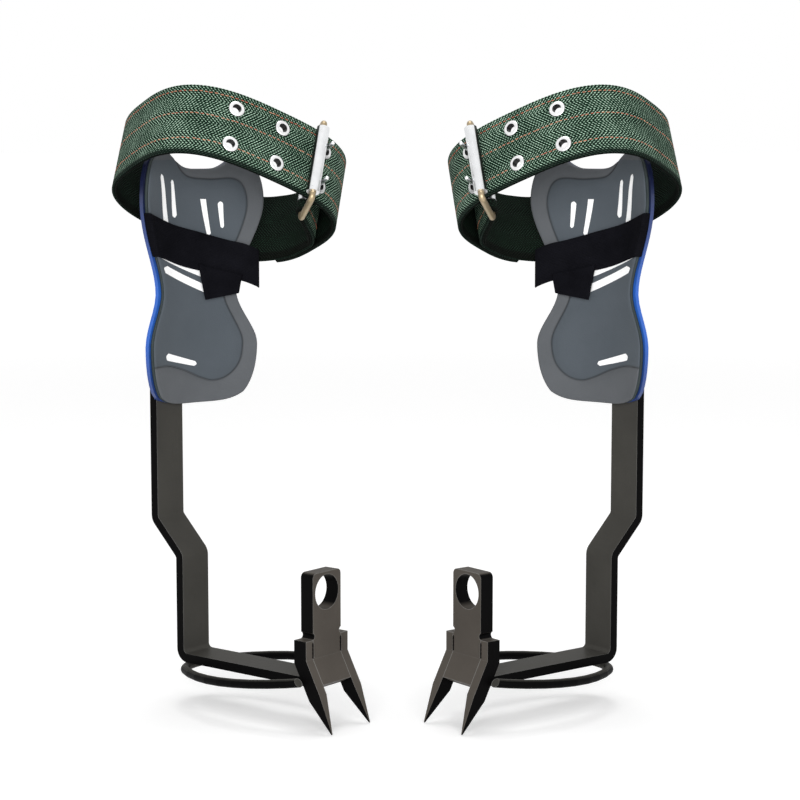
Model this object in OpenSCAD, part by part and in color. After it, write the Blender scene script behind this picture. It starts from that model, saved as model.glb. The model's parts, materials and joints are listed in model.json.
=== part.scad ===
// A pair of tree climbing spikes: left and right climbers, mirror images of each other.
// Each climber is drawn in its own frame: X runs from the outer side of the foot to the
// inner side, Y from the photographed near side to the far side, and Z is up, with zero
// on top of the foot bar. The pair stands with its spike tips on Z = 0.

/* [Leg iron] */
// Width of the flat bar
bar_w = 25; // [20:1:30]
// Thickness of the flat bar
bar_t = 6; // [5:0.5:8]
// Inside length of the foot bar, from the iron to the head plate
foot_l = 106; // [98:1:120]
// Height at which the joggle starts
joggle_z = 68; // [55:1:80]
// Height that the joggle takes up
joggle_h = 23; // [18:1:30]
// Outward step of the joggle
joggle_x = 22.5; // [16:0.5:26]
// Height of the top of the iron above the foot bar
iron_top = 206; // [202:1:216]
// Inside radius of the bends
bend_r = 3; // [2:0.5:6]

/* [Foot ring] */
// Diameter of the ring rod
rod_d = 6; // [5:0.5:7]
// Half width of the ring over its rod centres
ring_half = 35; // [30:1:42]
// Radius of the closed end of the ring
ring_end_r = 18; // [15:1:22]
// Height of the rods where they meet the spikes
ring_head_z = 0.5; // [-2:0.5:2]

/* [Head] */
// Thickness of the head plate
head_t = 10; // [8:0.5:12]
// Width of the head plate
head_w = 28; // [27:0.5:34]
// Height of the top of the tab above the foot bar
tab_z = 69; // [60:1:80]
// Diameter of the foot strap hole
strap_hole_d = 23; // [16:0.5:24]
// Height of the hole's centre below the top of the tab
strap_hole_drop = 13.5; // [13.5:0.5:20]
// Height of the spike shoulders above the foot bar
shoulder_z = 26; // [20:1:32]
// Height at which the head starts to bend inward
head_bend_z = 11; // [8:0.5:14]
// Inward bend of the spikes
spike_bend = 28; // [22:1:32]
// Width of each spike
spike_w = 7; // [6:0.5:9]
// Depth of the spike tips below the foot bar
tip_drop = 32; // [28:1:40]
// Length of the taper at the end of each spike
taper_l = 25; // [18:1:27]

/* [Cuff] */
// Radius of the curved face of the calf pad
calf_r = 72; // [66:1:80]
// Thickness of the calf pad
pad_t = 3.8; // [3:0.2:5]
// Thickness of the cuff shell
shell_t = 2.8; // [2.6:0.1:4]
// Turn of the cuff's lower half towards the far side
cuff_turn = 15; // [11:1:17]
// Turn of the upper lobes back from the lower ones
upper_turn = 0.5; // [0:0.5:4]
// Height of the bottom of the cuff above the foot bar
cuff_z = 167; // [162:1:172]
// Height of the cuff
cuff_h = 172; // [166:1:175]
// Width of the upper lobes, as half an angle round the calf
upper_half = 38.5; // [36:0.5:41]
// Width of the waist, as half an angle round the calf
waist_half = 23; // [21:1:27]
// Width of the lower lobes, as half an angle round the calf
lower_half = 34; // [31:1:37]
// Diameter of the cuff bolts
bolt_d = 6; // [5:1:6]
// Height of the lower cuff bolt above the foot bar
low_bolt_z = 180; // [178:1:184]
// Distance between the cuff bolts
bolt_pitch = 15; // [14:1:17]

/* [Belt] */
// Width of the calf belt
belt_w = 50; // [45:1:55]
// Thickness of the outer webbing
web_t = 1.8; // [1.5:0.1:2.2]
// Thickness of the lining
lining_t = 1.2; // [1:0.1:1.5]
// Half length of the belt loop
loop_a = 70.5; // [70:0.5:75]
// Half width of the belt loop
loop_b = 58; // [57:1:60]
// Distance between the rows of eyelets
eyelet_rows = 26; // [22:1:28]
// Distance between the pairs of eyelets
eyelet_pitch = 34; // [30:1:38]
// Diameter of the hole through an eyelet
eyelet_hole = 6; // [5.5:0.1:6.5]

/* [Buckle] */
// Diameter of the buckle frame's wire
wire_d = 4.2; // [3.8:0.1:4.5]
// Outer diameter of the roller
roller_d = 8.4; // [7.8:0.1:8.8]
// Diameter of the prongs
prong_d = 2.6; // [2.4:0.1:2.7]

/* [Straps] */
// Width of the hook-and-loop strap
strap_w = 26; // [22:1:30]
// Thickness of the hook-and-loop strap
strap_t = 1.6; // [1.2:0.1:2]
// Height of the strap where it crosses the middle of the cuff
strap_z = 273; // [268:1:278]
// Length of the hanging end of the strap
flap_l = 23; // [18:1:26]

/* [Pair] */
// Turn of each climber about the vertical
unit_turn = 38; // [30:1:42]
// Distance from the middle of the pair to each iron
unit_x = 136.6; // [125:1:160]
// Shift that centres the pair front to back
unit_y = 14.1; // [-40:0.1:40]

/* [Hidden] */
SIDES = ["left", "right"];
PIECES = [
    "leg_iron", "foot_ring", "head_plate", "front_spike", "rear_spike",
    "cuff_shell", "pad_foam", "pad_facing", "cuff_bolts", "bolt_washers", "bolt_nuts",
    "calf_belt", "belt_lining", "belt_fold", "eyelets",
    "buckle_frame", "buckle_roller", "upper_prong", "lower_prong",
    "hook_strap", "strap_flap"
];

seat = 0.3;
fit = 0.1;
steel = [0.16, 0.15, 0.15];
plated = [0.75, 0.76, 0.78];
webbing = [0.16, 0.36, 0.27];
lining = [0.05, 0.12, 0.08];

// Places worked out from the sizes
iron_x = -joggle_x;
axis_x = iron_x + shell_t + pad_t + calf_r;
shell_in = calf_r + pad_t;
shell_out = shell_in + shell_t;
head_x = foot_l;
head_slope = tan(spike_bend);
spike_y = head_w / 2 + spike_w / 2;
ring_roll = 4;
ring_start = -4;
rod_gap = 1.4;
rod_z = -bar_t - rod_d / 2 - rod_gap;
ring_slope = atan2(ring_head_z - rod_z, head_x - ring_start);
belt_t = web_t + lining_t;

// Arc points that round the corner b of the path a, b, c with radius r
function unit(v) = v / norm(v);
function turn_of(a, b, c) =
    let (u = unit(b - a), v = unit(c - b)) atan2(u[0] * v[1] - u[1] * v[0], u * v);
function corner(a, b, c, r, n = 8) =
    let (
        u = unit(b - a),
        turn = turn_of(a, b, c),
        side = sign(turn),
        start = b - u * r * tan(abs(turn) / 2),
        centre = start + side * r * [-u[1], u[0]]
    )
    [for (i = [0 : n])
        let (g = turn * i / n, w = start - centre)
        centre + [w[0] * cos(g) - w[1] * sin(g), w[0] * sin(g) + w[1] * cos(g)]];

ring_a = 54;
ring_side_r = (ring_half - ring_end_r * sin(ring_a)) / (1 - sin(ring_a));
ring_stop = 40;
web_z = -7;
tab_r = 3.5;
notch_r = 2.2;
tip_r = 0.5;
tip_lead = 0.62;
tip_out = 1.6;
bolt_heights = [low_bolt_z, low_bolt_z + bolt_pitch];
bolt_head_h = 1.6;
bolt_head_d = bolt_d * 2;
washer_t = 1.2;
nut_h = 5;
land_w = bar_w + 4;
shell_near = 2.6;
shell_far = -0.6;
facing_t = 1.3;
channel_w = 2;
lobe_low = 0.225;
waist_at = 0.44;
lobe_high = 0.8;
scoop = 13.5;
scoop_at = 4;
scoop_wide = 19;
corner_drop = 6;
corner_rise = 6;
loop_e = 0.7;
loop_turn = 31;
loop_tilt = 30.6;
loop_roll = 8.5;
loop_at = [21.35, 14.9, 320.4];
loop_step = 3;
buckle_t = 285.2;
tail_end = 30;
arm_turn = 28;
arm_l = 30;
arm_gap = 1.4;
frame_r = 2.6;
roller_l = belt_w - 2;
prong_gap = 1.7;
prong_reach = 3;
eyelet_pairs = 3;
barrel_d = eyelet_hole + 1;
flange_d = 10.6;
flange_t = 0.8;
eye_w = 5;
eye_r = wire_d / 2 + 1.9;
fold_r = wire_d / 2 + seat + web_t;
axis_y = 8;
strap_far = 41;
strap_fall = 0.28;
strap_seat = 0.6;
strap_corner = 1.2;
strap_rows = [-1, -0.5, 0, 0.5, 1];
flap_a0 = 15;
flap_a1 = 41;

// Inner face of the iron from the foot bar's end to the top, as X and Z
inner_face = [
    [head_x, 0], [0, 0], [0, joggle_z],
    [iron_x, joggle_z + joggle_h], [iron_x, iron_top]
];
// The same line moved out by the bar's thickness, at each corner
function mitre(a, b, c, t) =
    let (u = unit(b - a), v = unit(c - b), n = [u[1], -u[0]], m = [v[1], -v[0]])
    b + (n + m) * t / (1 + n * m);
function outer_face(t) = [
    inner_face[0] - [0, t],
    mitre(inner_face[0], inner_face[1], inner_face[2], -t),
    mitre(inner_face[1], inner_face[2], inner_face[3], -t),
    mitre(inner_face[2], inner_face[3], inner_face[4], -t),
    inner_face[4] - [t, 0]
];
function rounded(p, radii) = concat(
    [p[0]],
    [for (i = [1 : 3]) each corner(p[i - 1], p[i], p[i + 1], radii[i - 1])],
    [p[4]]
);
function reversed(v) = [for (i = [len(v) - 1 : -1 : 0]) v[i]];

// Line of the head plate's back face below its bend, as X at a height
function head_back(z) = head_x + max(0, head_bend_z - z) * head_slope;

// Stands a child drawn in X and Y as X and Z, with thickness w along Y
module upright(w) {
    rotate([90, 0, 0]) linear_extrude(w, center = true) children();
}

// The left climber's place in the pair; the right one is its mirror image
module place(side) {
    mirror([side == "right" ? 1 : 0, 0, 0])
        translate([-unit_x, unit_y, tip_drop])
            rotate([0, 0, -unit_turn]) children();
}

// Flat bar, joggled outward and bent under the foot
module leg_iron() {
    inner_radii = [bend_r, bend_r + bar_t, bend_r];
    outer_radii = [bend_r + bar_t, bend_r, bend_r + bar_t];
    edge = outer_face(bar_t);
    foot_end = [head_back(-bar_t), -bar_t];
    color(steel) difference() {
        upright(bar_w) polygon(concat(
            [[head_x, head_bend_z], [head_x, 0]],
            [for (i = [1 : 3 * 9]) rounded(inner_face, inner_radii)[i]],
            [inner_face[4]],
            reversed(concat([foot_end], [for (i = [1 : 3 * 9]) rounded(edge, outer_radii)[i]], [edge[4]]))
        ));
        for (z = bolt_heights) translate([iron_x - bar_t - 1, 0, z])
            rotate([0, 90, 0]) cylinder(d = bolt_d + 2 * fit, h = bar_t + 2, $fn = 48);
    }
}

// Half space in front of the back faces of the head, for flush welded ends
module head_space() {
    translate([head_x, 0, head_bend_z]) rotate([0, -spike_bend, 0])
        translate([0, -bar_w * 2, -tip_drop * 2]) cube([head_t * 6, bar_w * 4, tip_drop * 4]);
}

// Round rod bent into a loop under the foot, welded to both spikes
ring_centre = [ring_end_r, 0] + (ring_side_r - ring_end_r) * [cos(ring_a), -sin(ring_a)];
ring_side = [for (i = [0 : 12])
    let (g = ring_stop + (180 - ring_a - ring_stop) * i / 12)
    ring_centre + ring_side_r * [cos(g), sin(g)]];
ring_line = concat(
    ring_side,
    [for (i = [1 : 11]) let (g = 180 - ring_a + ring_a * i / 6) ring_end_r * [1 + cos(g), sin(g)]],
    [for (i = [12 : -1 : 0]) [ring_side[i][0], -ring_side[i][1]]]
);
module rod_along(line, d, sides = 16) {
    n = len(line);
    points = [for (i = [0 : n - 1])
        let (u = unit(line[min(n - 1, i + 1)] - line[max(0, i - 1)]), across = [-u[1], u[0], 0])
        for (k = [0 : sides - 1])
            let (g = 360 * k / sides)
            [line[i][0], line[i][1], 0] + d / 2 * (across * cos(g) + [0, 0, sin(g)])];
    polyhedron(points, concat(
        [for (i = [0 : n - 2]) for (k = [0 : sides - 1])
            let (a = sides * i + k, b = sides * i + (k + 1) % sides)
            each [[a, b, b + sides], [a, b + sides, a + sides]]],
        [[for (k = [sides - 1 : -1 : 0]) k], [for (k = [0 : sides - 1]) sides * (n - 1) + k]]
    ));
}
module foot_ring() {
    color(steel) difference() {
        translate([ring_start, 0, rod_z]) rotate([ring_roll, -ring_slope, 0]) rod_along(ring_line, rod_d);
        head_space();
    }
}

// Tab and web in one plate, bent inward at its foot
module head_plate() {
    front_bend = [head_x + head_t, head_bend_z + head_t * tan(spike_bend / 2)];
    run = (head_bend_z - web_z) / cos(spike_bend);
    foot = [head_x, head_bend_z] + run * [sin(spike_bend), -cos(spike_bend)];
    toe = foot + head_t * [cos(spike_bend), sin(spike_bend)];
    color(steel) difference() {
        intersection() {
            upright(head_w) polygon([
                [head_x, tab_z], [head_x, head_bend_z], foot, toe, front_bend, [head_x + head_t, tab_z]
            ]);
            translate([head_x - 1, 0, 0]) rotate([90, 0, 90]) linear_extrude(head_t * 4) polygon(concat(
                [[-head_w / 2, -tip_drop], [head_w / 2, -tip_drop]],
                corner([head_w / 2, 0], [head_w / 2, tab_z], [0, tab_z], tab_r),
                corner([0, tab_z], [-head_w / 2, tab_z], [-head_w / 2, 0], tab_r)
            ));
        }
        translate([head_x - 1, 0, tab_z - strap_hole_drop])
            rotate([0, 90, 0]) cylinder(d = strap_hole_d, h = head_t + 2, $fn = 96);
        for (y = [-1, 1]) translate([head_x - 1, y * (head_w / 2 + 0.6), shoulder_z + notch_r])
            rotate([0, 90, 0]) cylinder(r = notch_r, h = head_t + 2, $fn = 32);
    }
}

// One spike, its inner face against the web's edge
module spike(y) {
    back = [head_x, head_bend_z];
    down = [sin(spike_bend), -cos(spike_bend)];
    across = [cos(spike_bend), sin(spike_bend)];
    tip_in = head_t * tip_lead;
    run = (tip_drop - tip_r + head_bend_z + tip_in * sin(spike_bend)) / cos(spike_bend) - taper_l;
    heel = back + down * run;
    toe = heel + across * head_t;
    front_bend = [head_x + head_t, head_bend_z + head_t * tan(spike_bend / 2)];
    point = heel + down * taper_l + across * tip_in;
    color(steel) translate([0, y, 0]) {
        upright(spike_w) polygon([
            [head_x, shoulder_z], back, heel, toe, front_bend, [head_x + head_t, shoulder_z]
        ]);
        hull() {
            upright(spike_w) polygon([heel, toe, toe - down * tip_r, heel - down * tip_r]);
            translate([point[0], sign(y) * tip_out, point[1]]) sphere(r = tip_r, $fn = 16);
        }
    }
}
module front_spike() { spike(-spike_y); }
module rear_spike() { spike(spike_y); }

// Cuff outline: half angle at a share v of the height, and height at a place u, v
function ease(x) = x * x * (3 - 2 * x);
function mix(a, b, x) = a + (b - a) * ease(x);
function half_at(v) =
    v < lobe_low ? lower_half * sqrt(1 - 0.4 * pow((lobe_low - v) / lobe_low, 2)) :
    v < waist_at ? mix(lower_half, waist_half, (v - lobe_low) / (waist_at - lobe_low)) :
    v < lobe_high ? mix(waist_half, upper_half, (v - waist_at) / (lobe_high - waist_at)) :
    upper_half * sqrt(1 - 0.38 * pow((v - lobe_high) / (1 - lobe_high), 2));
function cuff_angle(u, v) =
    cuff_turn - upper_turn * ease(min(1, max(0, (v - waist_at) / (lobe_high - waist_at)))) + u * half_at(v);
function cuff_height(u, v) =
    cuff_z + cuff_h * v
    - scoop * exp(-pow((u * half_at(v) - scoop_at) / scoop_wide, 4)) * pow(v, 10)
    - corner_drop * pow(u, 6) * pow(v, 10)
    + corner_rise * pow(u, 4) * pow(1 - v, 10);
function on_calf(r, u, v, grow = [0, 0]) =
    let (a = cuff_angle(u, v) + (u < 0 ? -grow[0] : u > 0 ? grow[1] : 0))
    [axis_x - r * cos(a), r * sin(a), cuff_height(u, v)];

// Closed line round the cuff's outline between two shares of its height, seen along X, grown
// at its near edge and at the others
function rim(r, wide, v0, v1, near = 0, far = 0) =
    let (n = 30, a = [near, far] / r * 180 / PI, up = [0, 0, far])
    concat(
        [for (i = [-n : n]) on_calf(r, wide * i / n, v0, a) - up],
        [for (i = [1 : n - 1]) on_calf(r, wide, v0 + (v1 - v0) * i / n, a)],
        [for (i = [n : -1 : -n]) on_calf(r, wide * i / n, v1, a) + up],
        [for (i = [n - 1 : -1 : 1]) on_calf(r, -wide, v0 + (v1 - v0) * i / n, a)]
    );
module through(line) {
    translate([axis_x, 0, 0]) rotate([90, 0, -90]) linear_extrude(shell_out * 2)
        polygon([for (p = line) [-p[1], p[2]]]);
}
module tube(r_out, r_in) {
    translate([axis_x, 0, cuff_z - belt_w]) difference() {
        cylinder(r = r_out, h = cuff_h + 2 * belt_w, $fn = 180);
        translate([0, 0, -1]) cylinder(r = r_in, h = cuff_h + 2 * belt_w + 2, $fn = 180);
    }
}

// Curved shell behind the pad, with a flat land against the iron
module cuff_shell() {
    color([0.10, 0.32, 0.72]) difference() {
        intersection() {
            union() {
                translate([axis_x, 0, 0]) cylinder(r = shell_out, h = iron_top * 2, $fn = 180);
                translate([iron_x, -land_w / 2, cuff_z]) cube([shell_t, land_w, iron_top + seat - cuff_z]);
            }
            through(rim(shell_in, 1, 0, 1, shell_near, shell_far));
        }
        translate([axis_x, 0, -1]) cylinder(r = shell_in, h = iron_top * 2 + 2, $fn = 180);
        for (z = bolt_heights) translate([iron_x, 0, z]) rotate([0, 90, 0]) {
            translate([0, 0, -1]) cylinder(d = bolt_d + 2 * fit, h = shell_t * 2, $fn = 48);
            translate([0, 0, shell_t - bolt_head_h - 0.2])
                cylinder(d = bolt_head_d + 2 * fit, h = shell_t, $fn = 48);
        }
    }
}

// Foam under a thin facing, which has a sewn channel inside its edge
module pad_foam() {
    color([0.17, 0.21, 0.21]) intersection() {
        tube(shell_in - seat, calf_r + facing_t + seat);
        through(rim(shell_in, 1, 0, 1));
    }
}
module pad_facing() {
    color([0.33, 0.36, 0.39]) difference() {
        intersection() {
            tube(calf_r + facing_t, calf_r);
            through(rim(calf_r, 1, 0, 1));
        }
        intersection() {
            tube(calf_r + facing_t / 2, calf_r - 1);
            difference() {
                through(rim(calf_r, 0.8, 0.075, 0.935, channel_w / 2, channel_w / 2));
                through(rim(calf_r, 0.8, 0.075, 0.935, -channel_w / 2, -channel_w / 2));
            }
        }
    }
}

module at_bolts() {
    for (z = bolt_heights) translate([iron_x, 0, z]) rotate([0, 90, 0]) children();
}
module cuff_bolts() {
    tail = bar_t + washer_t + nut_h + 2;
    color(plated) at_bolts() {
        translate([0, 0, -tail]) cylinder(d = bolt_d, h = tail + shell_t - bolt_head_h, $fn = 48);
        translate([0, 0, shell_t - bolt_head_h - 0.2]) cylinder(d = bolt_head_d, h = bolt_head_h, $fn = 48);
    }
}
module bolt_washers() {
    color(plated) at_bolts() translate([0, 0, -bar_t - washer_t]) difference() {
        cylinder(d = bolt_d * 2, h = washer_t, $fn = 48);
        translate([0, 0, -1]) cylinder(d = bolt_d + 2 * fit, h = washer_t + 2, $fn = 48);
    }
}
module bolt_nuts() {
    color(plated) at_bolts() translate([0, 0, -bar_t - washer_t - nut_h]) difference() {
        cylinder(d = bolt_d * 1.9, h = nut_h, $fn = 6);
        translate([0, 0, -1]) cylinder(d = bolt_d + 2 * fit, h = nut_h + 2, $fn = 48);
    }
}

// Belt loop: a rounded oblong in its own plane, X along the plane and Z across the belt
function sgn_pow(x, e) = sign(x) * pow(abs(x), e);
function loop_pt(t) =
    let (x = loop_a * sgn_pow(cos(t), loop_e), y = loop_b * sgn_pow(sin(t), loop_e))
    [x * cos(loop_turn) - y * sin(loop_turn), x * sin(loop_turn) + y * cos(loop_turn)];
function loop_out(t) = let (d = loop_pt(t + 0.5) - loop_pt(t - 0.5)) unit([d[1], -d[0]]);
function walk(t, d) = d <= 0 ? t : walk(t - 0.5, d - norm(loop_pt(t) - loop_pt(t - 0.5)));
function lap(t) = -(belt_t + seat) * (1 - ease(min(1, max(0, (t - tail_end) / 28))));

module in_loop() {
    translate(loop_at) rotate([0, 0, unit_turn]) rotate([0, loop_roll, 0]) rotate([-loop_tilt, 0, 0])
        children();
}

// Buckle: the roller lies on the belt, its frame reaches inward to the folded end
roller_at = loop_pt(buckle_t) + loop_out(buckle_t) * (belt_t / 2 + 2 * seat + flange_t + roller_d / 2);
arm_dir = let (o = loop_out(buckle_t), c = cos(arm_turn), s = sin(arm_turn))
    [-o[0] * c - o[1] * s, o[0] * s - o[1] * c];
pivot_at = roller_at + arm_l * arm_dir;
prong_side = [-arm_dir[1], arm_dir[0]] * -1;
prong_tip = roller_at + prong_side * (roller_d / 2 + prong_d / 2 + prong_gap) - arm_dir * prong_reach;
prong_dir = unit(prong_tip - pivot_at);
function off_prong(t) = let (p = loop_pt(t) - pivot_at) abs(p[0] * prong_dir[1] - p[1] * prong_dir[0]);
hole_angles = [for (t = [buckle_t : 0.1 : buckle_t + 16]) t];
nearest = min([for (t = hole_angles) off_prong(t)]);
pinned_t = [for (t = hole_angles) if (off_prong(t) == nearest) t][0];
eyelet_t = [for (k = [0 : eyelet_pairs - 1]) walk(pinned_t, k * eyelet_pitch)];

// Middle line of the whole belt from its folded end, with the outward normal at each point
lap_start = loop_pt(0) + loop_out(0) * lap(0);
fold_dir = unit(lap_start - pivot_at);
fold_start = pivot_at + fold_dir * (fold_r + fit);
function bez(s) =
    let (q = 1 - s, a = fold_start, b = a + fold_dir * 12,
         d = lap_start, t0 = loop_out(0), c = d + 12 * [t0[1], -t0[0]])
    q * q * q * a + 3 * q * q * s * b + 3 * q * s * s * c + s * s * s * d;
function bez_out(s) = let (d = bez(min(1, s + 0.01)) - bez(max(0, s - 0.01))) unit([d[1], -d[0]]);
belt_line = concat(
    [for (i = [0 : 9]) [bez(i / 10), bez_out(i / 10)]],
    [for (t = [0 : loop_step : 360 + tail_end]) [loop_pt(t) + loop_out(t) * lap(t), loop_out(t)]]
);
fold_under = concat(
    [[pivot_at + fold_dir * (wire_d / 2 + seat + web_t / 2), bez_out(0)]],
    [for (i = [0 : 9]) [bez(i / 10), bez_out(i / 10)]]
);

// Strip along a line between two distances from it
module strip(line, low, high) {
    linear_extrude(belt_w, center = true) polygon(concat(
        [for (p = line) p[0] + p[1] * high],
        reversed([for (p = line) p[0] + p[1] * low])
    ));
}
module at_loop(t) {
    o = loop_out(t);
    p = loop_pt(t);
    translate([p[0], p[1], 0]) rotate([0, 0, atan2(o[1], o[0])]) children();
}
module eyelet_holes() {
    for (t = eyelet_t) at_loop(t) for (z = [-1, 1]) translate([-belt_t, 0, z * eyelet_rows / 2])
        rotate([0, 90, 0]) cylinder(d = barrel_d + 2 * fit, h = belt_t * 2, $fn = 32);
}
module calf_belt() {
    color(webbing) in_loop() difference() {
        strip(belt_line, belt_t / 2 - web_t, belt_t / 2);
        eyelet_holes();
    }
}
module belt_lining() {
    color(lining) in_loop() difference() {
        strip(belt_line, -belt_t / 2, belt_t / 2 - web_t);
        eyelet_holes();
    }
}

// Folded end of the belt round the buckle's rear bar, open at each prong
module belt_fold() {
    color(lining) in_loop() difference() {
        union() {
            translate([pivot_at[0], pivot_at[1], -belt_w / 2]) cylinder(r = fold_r, h = belt_w, $fn = 48);
            strip(fold_under, -belt_t / 2 - web_t, -belt_t / 2);
        }
        translate([pivot_at[0], pivot_at[1], -belt_w])
            cylinder(d = wire_d + 2 * seat, h = belt_w * 2, $fn = 48);
        for (z = [-1, 1]) translate([pivot_at[0], pivot_at[1], z * eyelet_rows / 2 - eye_w / 2 - seat])
            cylinder(r = fold_r * 1.35, h = eye_w + 2 * seat, $fn = 48);
    }
}
module eyelets() {
    high = belt_t / 2 + seat;
    color(plated) in_loop() for (t = eyelet_t) at_loop(t) for (z = [-1, 1])
        translate([0, 0, z * eyelet_rows / 2]) rotate([0, 90, 0])
            rotate_extrude($fn = 48) polygon(concat(
                [[eyelet_hole / 2, -high - flange_t], [eyelet_hole / 2, high + flange_t]],
                [for (a = [90 : -15 : 0])
                    [flange_d / 2 - 1.2 + 1.2 * cos(a), high + flange_t * sin(a)]],
                [[barrel_d / 2, high], [barrel_d / 2, -high]],
                [for (a = [0 : -15 : -90])
                    [flange_d / 2 - 1.2 + 1.2 * cos(a), -high + flange_t * sin(a)]]
            ));
}

// Buckle pieces: a wire frame bent square, with rounded corners
module buckle_frame() {
    half = belt_w / 2 + arm_gap + wire_d / 2;
    straight = half - frame_r;
    color([0.55, 0.48, 0.38]) in_loop() translate([roller_at[0], roller_at[1], 0])
        rotate([90, 0, atan2(arm_dir[1], arm_dir[0])]) {
            for (x = [0, arm_l]) translate([x, 0, 0]) rotate([90, 0, 0])
                cylinder(d = wire_d, h = 2 * straight, center = true, $fn = 32);
            for (y = [-half, half]) translate([frame_r, y, 0]) rotate([0, 90, 0])
                cylinder(d = wire_d, h = arm_l - 2 * frame_r, $fn = 32);
            for (k = [0 : 3])
                translate([k == 0 || k == 3 ? arm_l - frame_r : frame_r, k < 2 ? straight : -straight, 0])
                rotate([0, 0, 90 * k]) rotate_extrude(angle = 90, $fn = 64)
                    translate([frame_r, 0]) circle(d = wire_d, $fn = 32);
        }
}
module buckle_roller() {
    color(plated) in_loop() translate([roller_at[0], roller_at[1], -roller_l / 2]) difference() {
        cylinder(d = roller_d, h = roller_l, $fn = 64);
        translate([0, 0, -1]) cylinder(d = wire_d + 2 * fit, h = roller_l + 2, $fn = 64);
    }
}
module prong(z) {
    reach = norm(prong_tip - pivot_at);
    color(plated) in_loop() translate([pivot_at[0], pivot_at[1], z]) {
        difference() {
            union() {
                translate([0, 0, -eye_w / 2]) cylinder(r = eye_r, h = eye_w, $fn = 48);
                rotate([0, 90, atan2(prong_dir[1], prong_dir[0])]) {
                    cylinder(d = prong_d, h = reach, $fn = 32);
                    translate([0, 0, reach]) sphere(d = prong_d, $fn = 32);
                }
            }
            translate([0, 0, -eye_w]) cylinder(d = wire_d + 2 * fit * 0.8, h = eye_w * 2, $fn = 48);
        }
    }
}
module upper_prong() { prong(eyelet_rows / 2); }
module lower_prong() { prong(-eyelet_rows / 2); }

// Strap across the pad, falling towards the far side. Its near end is tucked in beside the
// pad's edge, and its far end is bent back past the other edge.
function strap_height(y) = strap_z - strap_fall * (y - axis_y);
function polar(r, a, drop = 0) = [axis_x - r * cos(a), r * sin(a), -drop];
function beside(r, y) = [axis_x - sqrt(r * r - y * y), y, 0];
function pad_edge(z) = shell_in * sin(cuff_angle(-1, (z - cuff_z) / cuff_h));
strap_r = calf_r - strap_seat - strap_t / 2;
function edge_at(row, y, tries = 5) =
    tries == 0 ? y : edge_at(row, pad_edge(strap_height(y - strap_corner) + row * strap_w / 2), tries - 1);
function strap_anchor(row) =
    let (
        edge = edge_at(row, pad_edge(strap_z)),
        y = edge - strap_corner,
        first = asin((edge + 3) / strap_r)
    )
    concat(
        [beside(shell_in - seat, y), beside(calf_r + 1.8, y), beside(calf_r + 0.2, y),
         beside(strap_r + 0.5, y + 0.3), beside(strap_r, y + 1.2)],
        [for (i = [0 : 8]) polar(strap_r, first + (strap_far - first) * i / 8)],
        [polar(strap_r, strap_far + 4.5, 1), polar(calf_r + 0.2, strap_far + 8, 2),
         polar(calf_r + 1.6, strap_far + 9, 2.5)]
    );
function spline(p, i, s) =
    let (n = len(p), a = p[max(0, i - 1)], b = p[i], c = p[i + 1], d = p[min(n - 1, i + 2)])
    0.5 * (2 * b + (c - a) * s + (2 * a - 5 * b + 4 * c - d) * s * s + (3 * b - a - 3 * c + d) * s * s * s);
function strap_line(row) =
    let (p = strap_anchor(row))
    concat([for (i = [0 : len(p) - 2]) for (s = [0 : 1 / 3 : 0.9]) spline(p, i, s)], [p[len(p) - 1]]);
module hook_strap() {
    lines = [for (row = strap_rows) strap_line(row)];
    n = len(lines[0]);
    rows = len(strap_rows);
    ring = 2 * rows;
    function place_at(i, row, k) =
        let (
            line = lines[row],
            d = line[min(n - 1, i + 1)] - line[max(0, i - 1)],
            across = unit([d[1], -d[0]]) * k * strap_t / 2
        )
        [line[i][0] + across[0], line[i][1] + across[1],
         strap_height(line[i][1]) + line[i][2] + strap_rows[row] * strap_w / 2];
    points = [for (i = [0 : n - 1]) each concat(
        [for (row = [0 : rows - 1]) place_at(i, row, 1)],
        [for (row = [rows - 1 : -1 : 0]) place_at(i, row, -1)]
    )];
    function quad(a, b, c, d) = [[a, b, c], [a, c, d]];
    color([0.07, 0.07, 0.09]) polyhedron(points, concat(
        [for (i = [0 : n - 2]) for (k = [0 : ring - 1])
            let (a = ring * i + k, b = ring * i + (k + 1) % ring)
            each quad(a, a + ring, b + ring, b)],
        [for (k = [0 : rows - 2]) each quad(k, k + 1, ring - 2 - k, ring - 1 - k)],
        [for (k = [0 : rows - 2]) let (e = ring * (n - 1))
            each quad(e + k, e + ring - 1 - k, e + ring - 2 - k, e + k + 1)]
    ));
}

// Loose end of the strap, hanging down the face of the pad
module strap_flap() {
    face = strap_r - strap_t / 2 - seat;
    steps = 6;
    function flap_pt(r, s, low) =
        let (
            a = flap_a0 + (flap_a1 - flap_a0) * (low ? 0.12 + 0.8 * s : s),
            p = polar(r, a),
            top = strap_height(p[1]) - strap_w / 2 + 4
        )
        [p[0], p[1], low ? top - flap_l + 10 * s : top];
    rows = [for (i = [0 : steps]) let (s = i / steps)
        [flap_pt(face, s, false), flap_pt(face, s, true),
         flap_pt(face - strap_t, s, true), flap_pt(face - strap_t, s, false)]];
    color([0.05, 0.05, 0.06]) polyhedron(
        [for (r = rows) each r],
        concat(
            [for (i = [0 : steps - 1]) for (k = [0 : 3])
                let (a = 4 * i + k, b = 4 * i + (k + 1) % 4, c = a + 4, d = b + 4)
                each [[a, d, b], [a, c, d]]],
            [[0, 1, 2], [0, 2, 3]],
            [[4 * steps, 4 * steps + 2, 4 * steps + 1], [4 * steps, 4 * steps + 3, 4 * steps + 2]]
        )
    );
}

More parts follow.
